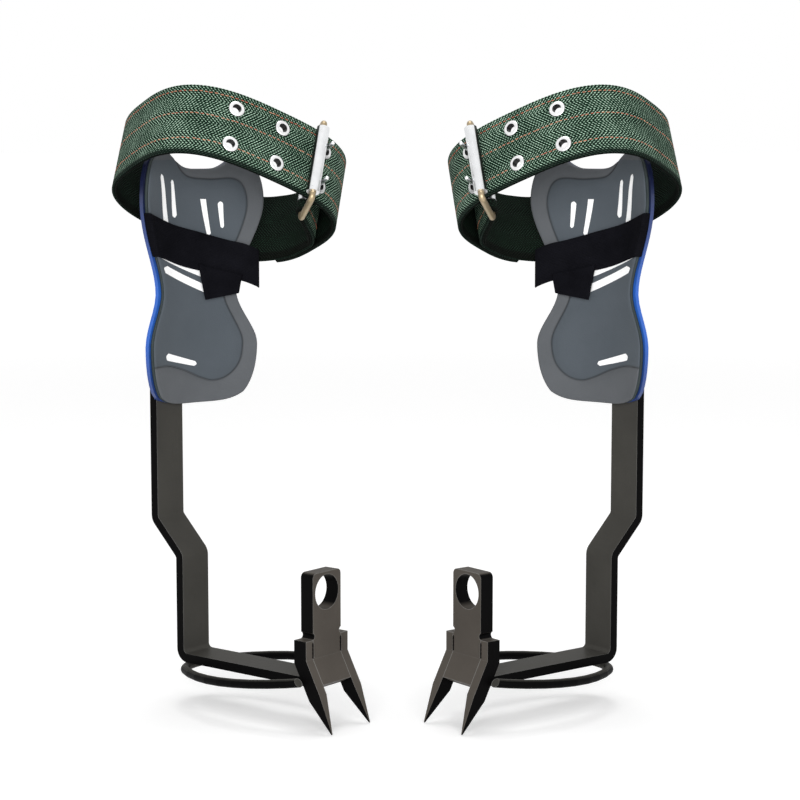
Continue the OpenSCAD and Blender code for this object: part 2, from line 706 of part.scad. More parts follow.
for (side = SIDES) {
    place(side) leg_iron();
    place(side) foot_ring();
    place(side) head_plate();
    place(side) front_spike();
    place(side) rear_spike();
    place(side) cuff_shell();
    place(side) pad_foam();
    place(side) pad_facing();
    place(side) cuff_bolts();
    place(side) bolt_washers();
    place(side) bolt_nuts();
    place(side) calf_belt();
    place(side) belt_lining();
    place(side) belt_fold();
    place(side) eyelets();
    place(side) buckle_frame();
    place(side) buckle_roller();
    place(side) upper_prong();
    place(side) lower_prong();
    place(side) hook_strap();
    place(side) strap_flap();
}
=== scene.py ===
import json
import math
import random
import bpy
from mathutils import Matrix, Vector


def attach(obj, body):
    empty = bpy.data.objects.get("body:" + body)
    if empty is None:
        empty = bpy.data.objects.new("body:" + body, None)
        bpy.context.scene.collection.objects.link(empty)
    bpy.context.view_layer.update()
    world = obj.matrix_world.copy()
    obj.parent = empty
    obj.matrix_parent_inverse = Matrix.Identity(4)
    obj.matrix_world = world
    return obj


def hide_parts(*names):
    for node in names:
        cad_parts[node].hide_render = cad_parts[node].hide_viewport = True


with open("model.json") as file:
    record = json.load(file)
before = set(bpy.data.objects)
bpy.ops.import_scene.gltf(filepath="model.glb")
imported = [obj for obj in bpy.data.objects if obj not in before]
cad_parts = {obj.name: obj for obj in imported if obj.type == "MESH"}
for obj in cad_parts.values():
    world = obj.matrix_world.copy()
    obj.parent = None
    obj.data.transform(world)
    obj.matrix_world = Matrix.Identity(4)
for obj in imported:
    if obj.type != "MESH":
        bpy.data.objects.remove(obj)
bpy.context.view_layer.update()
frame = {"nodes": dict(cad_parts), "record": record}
random.seed(4)
rad = math.radians
MM = 0.001
SIDES = ("left", "right")

# The photograph's view, in metres and radians
CAMERA_AT = (0.002, -1.4259, 0.377)
CAMERA_DIP = 0.12
cam_data = bpy.data.cameras.new("camera")
cam_data.lens = 97.2
cam_data.sensor_width = 36
camera = bpy.data.objects.new("camera", cam_data)
camera.location = CAMERA_AT
camera.rotation_euler = (rad(90) - CAMERA_DIP, 0, 0)
bpy.context.scene.collection.objects.link(camera)
bpy.context.scene.camera = camera
bpy.context.scene.view_settings.view_transform = "Standard"

# Sizes repeated from the part's source, in millimetres and degrees

# Where a climber stands in the pair, and how far it is turned
UNIT_X, UNIT_Y, TIP_DROP, UNIT_TURN = -136.6, 14.1, 32.0, 38.0
# The cuff: its radii and axis, its foot, height and turn, and its outline's lobes and waist
CALF_R, FACING_T, SHELL_IN, AXIS_X = 72.0, 1.3, 75.8, 56.1
CUFF_Z, CUFF_H, CUFF_TURN, UPPER_TURN = 167.0, 172.0, 15.0, 0.5
UPPER_HALF, WAIST_HALF, LOWER_HALF = 38.5, 23.0, 34.0
LOBE_LOW, WAIST_AT, LOBE_HIGH = 0.225, 0.44, 0.8
SCOOP, SCOOP_AT, SCOOP_WIDE = 13.5, 4.0, 19.0
CORNER_DROP, CORNER_RISE = 6.0, 6.0
# The belt: its loop, its place and tilt, its layers, where its tail laps over, and its eyelets
LOOP_A, LOOP_B, LOOP_E, LOOP_TURN = 70.5, 58.0, 0.7, 31.0
LOOP_AT = Vector((21.35, 14.9, 320.4))
LOOP_TILT, LOOP_ROLL = 30.6, 8.5
BELT_W, WEB_T, LINING_T, SEAT = 50.0, 1.8, 1.2, 0.3
BELT_T = WEB_T + LINING_T
TAIL_END, LAP_RUN = 30.0, 28.0
EYELET_T, EYELET_Z = (292.7, 270.2, 251.2), (13.0, -13.0)
# The buckle's rear bar, with the prongs' eyes and the fold of the belt round it
PIVOT = Vector((51.306, -10.3499))
WIRE_D, EYE_W = 4.2, 5.0
FOLD_R = WIRE_D / 2 + SEAT + WEB_T
# The hook strap and its loose end
STRAP_W, STRAP_T, STRAP_Z, STRAP_FALL, AXIS_Y = 26.0, 1.6, 273.0, 0.28, 8.0
STRAP_SEAT, STRAP_CORNER, STRAP_FAR = 0.6, 1.2, 41.0
STRAP_R = CALF_R - STRAP_SEAT - STRAP_T / 2
FLAP_L, FLAP_A0, FLAP_A1, FLAP_TUCK = 23.0, 15.0, 41.0, 4

IN_LOOP = (Matrix.Translation(LOOP_AT) @ Matrix.Rotation(rad(UNIT_TURN), 4, "Z")
           @ Matrix.Rotation(rad(LOOP_ROLL), 4, "Y") @ Matrix.Rotation(rad(-LOOP_TILT), 4, "X"))
PLACE = Matrix.Translation((UNIT_X, UNIT_Y, TIP_DROP)) @ Matrix.Rotation(rad(-UNIT_TURN), 4, "Z")


# Materials

class Nodes:
    """One material's node tree, with short calls for the nodes used here."""

    def __init__(self, name):
        self.mat = bpy.data.materials.new(name)
        self.mat.use_nodes = True
        self.tree = self.mat.node_tree
        self.shader = self.tree.nodes["Principled BSDF"]

    def set(self, **sockets):
        for key, value in sockets.items():
            self.shader.inputs[key.replace("_", " ")].default_value = value

    def node(self, kind, inputs=None, **props):
        n = self.tree.nodes.new(kind)
        for key, value in props.items():
            setattr(n, key, value)
        for key, value in (inputs or {}).items():
            if isinstance(value, bpy.types.NodeSocket):
                self.tree.links.new(value, n.inputs[key])
            else:
                n.inputs[key].default_value = value
        return n

    def math(self, op, a, b=0.0, c=0.0):
        return self.node("ShaderNodeMath", {0: a, 1: b, 2: c}, operation=op).outputs[0]

    def clamp(self, x, low=0.0, high=1.0):
        return self.math("MINIMUM", self.math("MAXIMUM", x, low), high)

    def centred(self, x):
        return self.math("SUBTRACT", x, 0.5)

    def wave(self, x, pitch):
        return self.math("SINE", self.math("MULTIPLY", self.math("DIVIDE", x, pitch), 2 * math.pi))

    def dot(self, a, b):
        return self.node("ShaderNodeVectorMath", {0: a, 1: b}, operation="DOT_PRODUCT").outputs["Value"]

    def noise(self, vector, scale, detail=4.0, rough=0.55):
        return self.node("ShaderNodeTexNoise", {"Vector": vector, "Scale": scale, "Detail": detail,
                                                "Roughness": rough}).outputs["Fac"]

    def ramp(self, fac, stops):
        n = self.node("ShaderNodeValToRGB", {"Fac": fac})
        while len(n.color_ramp.elements) < len(stops):
            n.color_ramp.elements.new(0.5)
        for e, (at, colour) in zip(n.color_ramp.elements, stops):
            e.position = at
            e.color = (*colour, 1)
        return n.outputs["Color"]

    def mix(self, fac, a, b):
        return self.node("ShaderNodeMix", {0: fac, 6: a, 7: b}, data_type="RGBA").outputs[2]

    def link(self, out, socket):
        self.tree.links.new(out, self.shader.inputs[socket])

    def bump(self, height, strength, distance):
        n = self.node("ShaderNodeBump", {"Height": height, "Strength": strength, "Distance": distance})
        self.link(n.outputs[0], "Normal")

    def place(self):
        return self.node("ShaderNodeTexCoord").outputs["Object"]

    def normal(self):
        return self.node("ShaderNodeTexCoord").outputs["Normal"]

    def uv(self):
        sep = self.node("ShaderNodeSeparateXYZ", {0: self.node("ShaderNodeTexCoord").outputs["UV"]})
        return sep.outputs[0], sep.outputs[1]


def rgba(c):
    return (*c, 1.0)


def metal(name, base, dark, rough, metallic, speck=0.4, bump=0.12, hole_shade=False):
    """Plated metal with a cloudy tone; the flag paints the insides of holes dark, as shade found by ambient
    occlusion.
    """
    m = Nodes(name)
    p = m.place()
    cloud = m.noise(p, 35.0, 6.0)
    fine = m.noise(p, 900.0, 3.0)
    tone = m.math("MULTIPLY_ADD", fine, speck, m.math("MULTIPLY", cloud, 1 - speck))
    colour = m.ramp(tone, [(0.3, dark), (0.7, base)])
    if hole_shade:
        # Painted shade: an ambient-occlusion mask paints the insides of holes near black
        hollow = m.node("ShaderNodeAmbientOcclusion", {"Distance": 0.010}, samples=16).outputs["AO"]
        open_to = m.clamp(m.math("MULTIPLY_ADD", hollow, 3.4, -2.2), 0.02)
        colour = m.mix(open_to, rgba((0.012, 0.012, 0.012)), colour)
    m.link(colour, "Base Color")
    m.link(m.math("MULTIPLY_ADD", cloud, 0.18, rough - 0.09), "Roughness")
    m.bump(fine, bump, 0.0004)
    m.set(Metallic=metallic)
    return m.mat


def steel_paint(side, name, tone):
    """Black paint, rubbed to a brown grey on wide faces and paler on their edges; the narrow faces, found by
    which way they face, are painted near black as shade.
    """
    m = Nodes(f"{side}_{name}")
    p = m.place()
    turn = rad(UNIT_TURN)
    # Painted shade: faces turned along the bar's width, the narrow faces, are picked by their normal and
    # painted near black
    along_bar = (-math.sin(turn) if side == "right" else math.sin(turn), math.cos(turn), 0.0)
    narrow_shade = m.math("ABSOLUTE", m.dot(m.normal(), along_bar))
    narrow_shade = m.clamp(m.math("MULTIPLY", m.math("SUBTRACT", narrow_shade, 0.35), 3.0))
    cloud = m.noise(p, 22.0, 6.0)
    orange = m.noise(p, 520.0, 2.0)
    scuff = m.noise(p, 140.0, 8.0, 0.75)
    dark, light = (tuple(k * c for c in tone) for k in (0.85, 1.15))
    # The near-black colour here is the painted shade on the narrow faces
    base = m.mix(narrow_shade, m.ramp(cloud, [(0.25, dark), (0.75, light)]), rgba((0.0015, 0.0014, 0.0015)))
    scratched = m.math("MULTIPLY", m.math("GREATER_THAN", scuff, 0.70), 0.35)
    base = m.mix(scratched, base, rgba((0.09, 0.082, 0.075)))
    rounded = m.node("ShaderNodeBevel", {"Radius": 0.0009}, samples=8).outputs["Normal"]
    true = m.node("ShaderNodeNewGeometry").outputs["True Normal"]
    rubbed = m.math("MULTIPLY", m.math("SUBTRACT", 1.0, m.dot(rounded, true)),
                    m.math("MULTIPLY_ADD", cloud, 4.0, 0.6))
    rubbed = m.clamp(m.math("MULTIPLY", rubbed, m.math("SUBTRACT", 1.0, narrow_shade)), 0.0, 0.75)
    m.link(m.mix(rubbed, base, rgba((0.26, 0.26, 0.25))), "Base Color")
    m.link(m.math("MULTIPLY_ADD", cloud, 0.2, 0.36), "Roughness")
    m.bump(m.math("MULTIPLY_ADD", scuff, 0.3, orange), 0.22, 0.0005)
    m.set(Specular_IOR_Level=0.03)
    return m.mat


def webbing(name, dark, middle, pale, pitch):
    """Herringbone weave over UV in metres: U along the belt, V across it; painted shade darkens its lower
    edge.
    """
    chevron = 0.017
    m = Nodes(name)
    u, v = m.uv()
    p = m.place()
    wobble = m.math("MULTIPLY", m.centred(m.noise(p, 160.0, 2.0)), 0.0012)
    zig = m.math("PINGPONG", v, chevron / 2)
    twill = m.wave(m.math("ADD", m.math("ADD", u, zig), wobble), pitch)
    yarn = m.wave(v, pitch * 0.62)
    weave = m.math("MULTIPLY_ADD", yarn, 0.36, m.math("MULTIPLY", twill, 0.64))
    height = m.math("MULTIPLY_ADD", weave, 0.5, 0.5)
    tint = m.noise(p, 55.0, 5.0)
    flecks = m.noise(p, 900.0, 2.0)
    tone = m.math("ADD", height, m.math("MULTIPLY", m.centred(tint), 0.35))
    tone = m.math("ADD", tone, m.math("MULTIPLY", m.centred(flecks), 0.5))
    # Painted shade: the lowest few millimetres across the belt are painted dark, standing in for the shaded
    # edge of its thickness
    lower_edge_shade = m.node("ShaderNodeMapRange", {"Value": v, "From Min": -0.0220, "From Max": -0.0200,
                                               "To Min": 0.92, "To Max": 0.0}).outputs["Result"]
    cloth = m.ramp(tone, [(0.38, dark), (0.65, middle), (0.97, pale)])
    m.link(m.mix(lower_edge_shade, cloth, rgba(dark)), "Base Color")
    m.bump(height, 0.8, 0.0008)
    m.set(Roughness=0.75, Specular_IOR_Level=0.06)
    return m.mat


def roller_plate(side):
    """Plated sleeve rolled from sheet, painted dark down one side as shade."""
    m = Nodes(f"{side}_roller_plate")
    p = m.place()
    # Painted shade: faces turned outward and a little forward are painted dark
    shaded_side = (0.98 if side == "right" else -0.98, -0.20, 0.0)
    side_shade = m.clamp(m.math("MULTIPLY_ADD", m.dot(m.normal(), shaded_side), 12.0, -7.2))
    plate = m.ramp(m.noise(p, 90.0, 4.0), [(0.3, (0.70, 0.71, 0.72)), (0.7, (0.84, 0.85, 0.86))])
    m.link(m.mix(side_shade, plate, rgba((0.035, 0.040, 0.036))), "Base Color")
    m.link(m.math("MULTIPLY_ADD", m.noise(p, 300.0, 4.0), 0.2, 0.2), "Roughness")
    m.bump(m.noise(p, 500.0, 2.0), 0.03, 0.0003)
    m.set(Metallic=0.9)
    return m.mat


def facing_cloth():
    """Brushed grey cloth, a little paler outside its sewn line, which the mesh's attributes give."""
    m = Nodes("grey_facing")
    p = m.place()
    line = m.node("ShaderNodeAttribute", attribute_name="line").outputs["Fac"]
    band = m.node("ShaderNodeAttribute", attribute_name="band").outputs["Fac"]
    fine = m.noise(p, 1500.0, 3.0)
    cloud = m.noise(p, 30.0, 5.0)
    face = m.ramp(cloud, [(0.3, (0.072, 0.086, 0.101)), (0.7, (0.082, 0.097, 0.113))])
    edge = m.ramp(cloud, [(0.3, (0.094, 0.101, 0.110)), (0.7, (0.110, 0.117, 0.127))])
    colour = m.mix(band, face, edge)
    colour = m.mix(m.math("MULTIPLY", line, 0.85), colour, rgba((0.016, 0.018, 0.02)))
    speck = m.math("ADD", 0.5, m.math("MULTIPLY", m.centred(fine), 0.5))
    m.link(m.mix(speck, m.mix(0.25, colour, rgba((0, 0, 0))), colour), "Base Color")
    m.bump(fine, 0.35, 0.0004)
    m.set(Roughness=0.8, Specular_IOR_Level=0.25, Sheen_Weight=0.08, Sheen_Roughness=0.5)
    return m.mat


def foam_rubber():
    m = Nodes("dark_foam")
    p = m.place()
    cell = m.node("ShaderNodeTexVoronoi", {"Vector": p, "Scale": 1400.0}).outputs["Distance"]
    cloud = m.noise(p, 40.0, 4.0)
    m.link(m.ramp(cloud, [(0.3, (0.018, 0.028, 0.028)), (0.7, (0.030, 0.042, 0.042))]), "Base Color")
    m.bump(cell, 0.5, 0.0004)
    m.set(Roughness=0.85)
    return m.mat


def shell_plastic():
    """Blue moulded shell, bright at its waist and navy towards both ends."""
    waist_z = 0.262
    m = Nodes("blue_shell")
    p = m.place()
    z = m.node("ShaderNodeSeparateXYZ", {0: p}).outputs[2]
    off = m.math("ABSOLUTE", m.math("SUBTRACT", z, waist_z))
    shade = m.math("MULTIPLY_ADD", m.noise(p, 25.0, 3.0), 0.012, off)
    blues = [(0.22, (0.020, 0.115, 0.50)), (0.55, (0.014, 0.045, 0.20)), (0.9, (0.008, 0.012, 0.045))]
    m.link(m.ramp(m.math("MULTIPLY", shade, 10.0), blues), "Base Color")
    m.bump(m.noise(p, 700.0, 2.0), 0.15, 0.0003)
    m.set(Roughness=0.42, Specular_IOR_Level=0.5, Coat_Weight=0.1, Coat_Roughness=0.4)
    return m.mat


def hook_tape():
    m = Nodes("black_hook")
    _, v = m.uv()
    p = m.place()
    fine = m.noise(p, 1300.0, 4.0, 0.7)
    rib = m.wave(v, 0.0011)
    cloud = m.noise(p, 60.0, 5.0)
    tone = m.math("MULTIPLY_ADD", fine, 0.5, m.math("MULTIPLY", cloud, 0.5))
    tone = m.math("MULTIPLY_ADD", rib, 0.08, tone)
    m.link(m.ramp(tone, [(0.3, (0.002, 0.002, 0.003)), (0.75, (0.008, 0.008, 0.011))]), "Base Color")
    m.bump(m.math("MULTIPLY_ADD", rib, 0.25, fine), 0.5, 0.0005)
    m.set(Roughness=0.88, Specular_IOR_Level=0.03)
    return m.mat


def thread():
    m = Nodes("red_thread")
    p = m.place()
    reds = [(0.35, (0.34, 0.055, 0.03)), (0.65, (0.52, 0.24, 0.14))]
    m.link(m.ramp(m.noise(p, 120.0, 3.0), reds), "Base Color")
    m.bump(m.noise(p, 4000.0, 1.0), 0.4, 0.0002)
    m.set(Roughness=0.7)
    return m.mat


def print_white():
    m = Nodes("white_print")
    p = m.place()
    whites = [(0.2, (0.85, 0.86, 0.87)), (0.5, (0.97, 0.97, 0.97))]
    m.link(m.ramp(m.noise(p, 300.0, 5.0), whites), "Base Color")
    m.bump(m.noise(p, 1500.0, 2.0), 0.2, 0.0002)
    m.set(Roughness=0.6)
    return m.mat


MAT = {
    "zinc": metal("zinc_plate", (0.62, 0.63, 0.65), (0.42, 0.43, 0.45), 0.38, 0.9),
    "nickel": metal("nickel_plate", (0.82, 0.83, 0.84), (0.66, 0.67, 0.69), 0.24, 0.95,
                    speck=0.15, bump=0.03),
    # Eyelets: plated metal with painted shade inside their holes
    "eyelet": metal("eyelet_plate", (0.84, 0.84, 0.84), (0.70, 0.70, 0.71), 0.34, 0.7,
                    speck=0.15, bump=0.03, hole_shade=True),
    "bronze_wire": metal("yellow_zinc", (0.44, 0.35, 0.22), (0.26, 0.20, 0.12), 0.38, 0.75),
    "blue_shell": shell_plastic(),
    "dark_foam": foam_rubber(),
    "grey_facing": facing_cloth(),
    "green_webbing": webbing("green_webbing", (0.001, 0.005, 0.003), (0.012, 0.058, 0.028),
                             (0.46, 0.64, 0.50), 0.0023),
    # Used for the lining and the belt's fold: the weave in far darker colours, partly a darker webbing and
    # partly painted shade where these layers lie in shade
    "dark_webbing": webbing("dark_webbing", (0.001, 0.002, 0.001), (0.003, 0.009, 0.005),
                            (0.014, 0.034, 0.021), 0.0022),
    "black_hook": hook_tape(),
    "thread": thread(),
    "print": print_white(),
}
for side in SIDES:
    MAT[f"{side}_iron"] = steel_paint(side, "black_paint", (0.050, 0.048, 0.043))
    MAT[f"{side}_head"] = steel_paint(side, "rubbed_paint", (0.076, 0.067, 0.058))
    MAT[f"{side}_roller"] = roller_plate(side)


# Making pieces

def make(name, side, points, faces, uvs, slot, nodes=(), look=None, attrs=None):
    """A mesh from points in the climber's own frame in millimetres, with one UV pair to a point."""
    flip = side == "right"
    verts = []
    for p in points:
        w = PLACE @ Vector(p)
        verts.append(((-w.x if flip else w.x) * MM, w.y * MM, w.z * MM))
    if flip:
        faces = [tuple(reversed(f)) for f in faces]
    mesh = bpy.data.meshes.new(f"{side}_{name}")
    mesh.from_pydata(verts, [], faces)
    layer = mesh.uv_layers.new(name="UVMap")
    for loop in mesh.loops:
        layer.data[loop.index].uv = uvs[loop.vertex_index]
    for key, values in (attrs or {}).items():
        a = mesh.attributes.new(key, "FLOAT", "POINT")
        for i, value in enumerate(values):
            a.data[i].value = value
    for poly in mesh.polygons:
        poly.use_smooth = True
    mesh.update()
    obj = bpy.data.objects.new(f"{side}_{name}", mesh)
    bpy.context.scene.collection.objects.link(obj)
    mesh.materials.append(MAT[look or slot])
    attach(obj, f"{side}_climber")
    if nodes:
        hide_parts(*[f"{side}_{n}" for n in nodes])
    return obj


def rings_to_mesh(rings):
    """Points and faces of a skin over rings with the same number of points, with capped ends."""
    n, k = len(rings), len(rings[0])
    points = [p for ring in rings for p in ring]
    faces = []
    for a in range(0, (n - 1) * k, k):
        for j in range(k):
            m = (j + 1) % k
            faces.append((a + j, a + m, a + k + m, a + k + j))
    faces.append(tuple(reversed(range(k))))
    faces.append(tuple(range((n - 1) * k, n * k)))
    return points, faces


def two_sheets(nu, nv):
    """Faces of a front and a back sheet of nu by nv cells, and of the rim between them."""
    w = nu + 1
    n = w * (nv + 1)
    faces = []
    for j in range(nv):
        for i in range(nu):
            a = j * w + i
            faces.append((a, a + w, a + w + 1, a + 1))
            faces.append((n + a, n + a + 1, n + a + w + 1, n + a + w))
    rim = list(range(w)) + [j * w + nu for j in range(1, nv + 1)]
    rim += [nv * w + i for i in range(nu - 1, -1, -1)] + [j * w for j in range(nv - 1, 0, -1)]
    for a, b in zip(rim, rim[1:] + rim[:1]):
        faces.append((a, b, b + n, a + n))
    return faces


def tape_profile(half, t, cells):
    """Outline of a flat tape as places across it and out from it, with clipped corners."""
    clip = 0.5
    zs = [half - clip - (2 * half - 2 * clip) * i / cells for i in range(cells + 1)]
    profile = [(z, t) for z in zs] + [(-half, t - clip), (-half, -t + clip)]
    return profile + [(z, -t) for z in reversed(zs)] + [(half, -t + clip), (half, t - clip)]


def spline_points(pts, n):
    """Catmull-Rom points through pts, n to a span."""
    out = []
    for i in range(len(pts) - 1):
        a, b = pts[max(0, i - 1)], pts[i]
        c, d = pts[i + 1], pts[min(len(pts) - 1, i + 2)]
        for k in range(n):
            s = k / n
            out.append(tuple(0.5 * (2 * q + (r - p) * s + (2 * p - 5 * q + 4 * r - t) * s * s
                                    + (3 * q - p - 3 * r + t) * s ** 3) for p, q, r, t in zip(a, b, c, d)))
    out.append(tuple(pts[-1]))
    return out


def ease(x):
    x = min(1.0, max(0.0, x))
    return x * x * (3 - 2 * x)


# The belt's line

LOOP_STEP, FOLD_STEPS = 0.75, 24


def signed_power(x, e):
    return math.copysign(abs(x) ** e, x)


def loop_point(t):
    x, y = LOOP_A * signed_power(math.cos(rad(t)), LOOP_E), LOOP_B * signed_power(math.sin(rad(t)), LOOP_E)
    c, s = math.cos(rad(LOOP_TURN)), math.sin(rad(LOOP_TURN))
    return Vector((x * c - y * s, x * s + y * c))


def outward(a, b):
    d = (b - a).normalized()
    return Vector((d.y, -d.x))


def loop_out(t):
    return outward(loop_point(t - 0.5), loop_point(t + 0.5))


def lap(t):
    """How far the belt lies inside its loop, where its tail laps over it."""
    return -(BELT_T + SEAT) * (1 - ease((t - TAIL_END) / LAP_RUN))


LAP_START = loop_point(0) + loop_out(0) * lap(0)
FOLD_DIR = (LAP_START - PIVOT).normalized()
FOLD_START = PIVOT + FOLD_DIR * (FOLD_R + 0.1)


def lead_in(s):
    """The belt's line from the fold round the rear bar to the start of the loop."""
    reach = 12
    q = 1 - s
    a, d = FOLD_START, LAP_START
    o = loop_out(0)
    b, c = a + FOLD_DIR * reach, d + reach * Vector((o.y, -o.x))
    return q * q * q * a + 3 * q * q * s * b + 3 * q * s * s * c + s * s * s * d


def lead_in_out(s):
    return outward(lead_in(max(0, s - 0.01)), lead_in(min(1, s + 0.01)))


BELT_LINE = [(lead_in(i / FOLD_STEPS), lead_in_out(i / FOLD_STEPS)) for i in range(FOLD_STEPS)]
for step in range(int((360 + TAIL_END) / LOOP_STEP) + 1):
    angle = LOOP_STEP * step
    BELT_LINE.append((loop_point(angle) + loop_out(angle) * lap(angle), loop_out(angle)))


def in_loop(xy, z):
    return IN_LOOP @ Vector((xy.x, xy.y, z))


def fine_line():
    """The belt's line in steps of about a millimetre."""
    out = []
    for a, b in zip(BELT_LINE, BELT_LINE[1:]):
        n = max(1, round((b[0] - a[0]).length))
        for i in range(n):
            f = i / n
            out.append((a[0].lerp(b[0], f), a[1].lerp(b[1], f).normalized()))
    out.append(BELT_LINE[-1])
    return out


def lengths_along(points):
    out = [0.0]
    for a, b in zip(points, points[1:]):
        out.append(out[-1] + (b - a).length)
    return out


FINE = fine_line()
FINE_LENGTHS = lengths_along([p for p, _ in FINE])


# The belt

EYELETS = [(loop_point(t), z) for t in EYELET_T for z in EYELET_Z]
EYELET_HOLE = 3.6
PLY_GAP = 0.03
DIMPLE, DIMPLE_WIDE = 0.28, 0.9
STITCH_Z = (20.5, 4.0, -14.5)
STITCH_PITCH, STITCH_L, STITCH_R, STITCH_CLEAR = 3.3, 2.3, 0.34, 6.2
STITCH_START, STITCH_STOP, STITCH_SINK, STITCH_FLAT = 2.0, 4, 0.18, 0.9
# A stitch's sections, as places along it and shares of its radius
STITCH_FORM = ((-0.5, 0.25), (-0.38, 0.85), (0.0, 1.0), (0.38, 0.85), (0.5, 0.25))


def dimple(z):
    """How far the sewn rows pull the webbing in."""
    return sum(-DIMPLE * math.exp(-((z - row) / DIMPLE_WIDE) ** 2) for row in STITCH_Z)


def belt_layer(side, name, low, high, slot, dip=None):
    """One layer of the belt between two heights off its middle, with the eyelets' holes left out."""
    half, edge, cells = BELT_W / 2, min(0.7, (high - low) / 2 - 0.02), 60
    zs = [half - edge - (BELT_W - 2 * edge) * i / cells for i in range(cells + 1)]
    corner = [(half - edge * (1 - math.sin(rad(a))), edge * (1 - math.cos(rad(a)))) for a in (30, 60, 90)]
    profile = [(z, high + (dip(z) if dip else 0)) for z in zs]
    profile += [(-z, high - d) for z, d in corner] + [(-z, low + d) for z, d in reversed(corner)]
    profile += [(z, low) for z in reversed(zs)]
    profile += [(z, low + d) for z, d in corner] + [(z, high - d) for z, d in reversed(corner)]
    rings, uvs, hole = [], [], set()
    for i, ((p, o), s) in enumerate(zip(FINE, FINE_LENGTHS)):
        rings.append([in_loop(p + o * off, z) for z, off in profile])
        uvs += [(s * MM, (z + off) * MM) for z, off in profile]
        for c, cz in EYELETS:
            away = (p - c).length ** 2
            if away < EYELET_HOLE ** 2:
                hole.update(i * len(profile) + j for j, (z, _) in enumerate(profile)
                            if away + (z - cz) ** 2 < EYELET_HOLE ** 2)
    points, faces = rings_to_mesh(rings)
    faces = [f for f in faces if not any(v in hole for v in f)]
    return make(name, side, points, faces, uvs, slot, [name])


def stitches(side):
    """Dashes of thread along the belt's three sewn rows, on its outer face."""
    points, faces, uvs = [], [], []
    for row, z0 in enumerate(STITCH_Z):
        s, i = STITCH_START + row, 0
        while s < FINE_LENGTHS[-1] - STITCH_STOP:
            while FINE_LENGTHS[i + 1] < s:
                i += 1
            p, o = FINE[i]
            d = Vector((-o.y, o.x))
            z = z0 + random.uniform(-0.18, 0.18)
            lean = random.uniform(-0.12, 0.12)
            if all((p - c).length > STITCH_CLEAR or abs(z - cz) > STITCH_CLEAR for c, cz in EYELETS):
                rings = []
                for f, w in STITCH_FORM:
                    ring = []
                    for g in range(6):
                        a = g * math.pi / 3
                        off = BELT_T / 2 - STITCH_SINK + STITCH_R * w * math.sin(a) * STITCH_FLAT
                        across = z + f * lean * STITCH_L + STITCH_R * w * math.cos(a)
                        ring.append(in_loop(p + d * (f * STITCH_L) + o * off, across))
                    rings.append(ring)
                base = len(points)
                dash, skin = rings_to_mesh(rings)
                points += dash
                faces += [tuple(base + v for v in f) for f in skin]
                uvs += [(s * MM, z * MM)] * len(dash)
            s += STITCH_PITCH * random.uniform(0.94, 1.06)
    return make("belt_stitching", side, points, faces, uvs, "green_webbing", look="thread")


def belt_fold(side):
    """Folded end of the belt: a sewn under layer, and three bands round the buckle's rear bar."""
    e1, e2 = FOLD_DIR, lead_in_out(0)
    under = BELT_T / 2 + WEB_T / 2
    sewn_share, sewn_steps = 0.9, 30
    wrap_from, wrap_to, wrap_step = -70, -290, -10
    points, faces, uvs = [], [], []

    def band(path, z0, z1):
        normals = [outward(path[max(0, i - 1)], path[min(len(path) - 1, i + 1)]) for i in range(len(path))]
        half, mid = (z1 - z0) / 2, (z0 + z1) / 2
        profile = tape_profile(half, WEB_T / 2 - 0.05, max(4, int(half)))
        rings = [[in_loop(p + o * off, mid + z) for z, off in profile] for p, o in zip(path, normals)]
        pts, fcs = rings_to_mesh(rings)
        base = len(points)
        points.extend(pts)
        faces.extend(tuple(base + v for v in f) for f in fcs)
        uvs.extend((s * MM, (mid + z + off) * MM) for s in lengths_along(path) for z, off in profile)

    shares = [sewn_share * (1 - i / sewn_steps) for i in range(sewn_steps + 1)]
    band([lead_in(s) - lead_in_out(s) * under for s in shares], -BELT_W / 2, BELT_W / 2)
    r = FOLD_R - WEB_T / 2
    wrap = [PIVOT + e1 * (r * math.cos(rad(a))) + e2 * (r * math.sin(rad(a)))
            for a in range(wrap_from, wrap_to - 1, wrap_step)]
    slot = EYE_W / 2 + SEAT
    upper, lower = EYELET_Z
    for z0, z1 in ((upper + slot, BELT_W / 2), (lower + slot, upper - slot), (-BELT_W / 2, lower - slot)):
        band(wrap, z0, z1)
    return make("belt_fold", side, points, faces, uvs, "dark_webbing", ["belt_fold"])


# The cuff

# The sewn line of the facing, as shares of half width and of height
LINE = [(-0.42, 1.0), (-0.3, 0.965), (-0.1, 0.925), (0.2, 0.912), (0.5, 0.905), (0.7, 0.87), (0.77, 0.8),
        (0.76, 0.7), (0.72, 0.6), (0.68, 0.5), (0.69, 0.42), (0.74, 0.33), (0.77, 0.24), (0.72, 0.15),
        (0.55, 0.1), (0.3, 0.085), (0.05, 0.1), (-0.3, 0.135), (-0.65, 0.155), (-1.0, 0.15)]
# Printed flashes on the facing, each as two ends in shares and its width at each end
PRINTS = [
    ((-0.72, 0.905), (-0.60, 0.70), 3.2, 5.2), ((-0.47, 0.885), (-0.39, 0.735), 2.6, 4.4),
    ((0.10, 0.84), (0.24, 0.66), 4.6, 3.0), ((0.38, 0.80), (0.45, 0.69), 4.0, 2.4),
    ((-0.95, 0.60), (0.45, 0.49), 5.0, 5.0), ((-0.92, 0.54), (0.62, 0.42), 5.0, 5.0),
    ((-0.72, 0.195), (-0.05, 0.155), 5.0, 3.2),
]
# Over how many millimetres the pad's swell dies out at its edge and at the sewn line
EDGE_RUN, LINE_RUN = 5, 3.5
# The pad's swell: its least and its gain, and the place and width of each lobe's, as shares of height
SWELL_LEAST, SWELL_GAIN = 0.25, 1.5
SWELLS = ((0.2, 0.13), (0.87, 0.09))
# The face's rounded edge, the sewn line's groove, and how wide the line looks dark
ROUND_RUN, GROOVE, GROOVE_WIDE, DARK_WIDE = 3.0, 0.45, 0.7, 0.55
# A gap to the sewn line that is wide enough to leave no trace of it
FAR_OFF = 9.0


def mix(a, b, x):
    return a + (b - a) * ease(x)


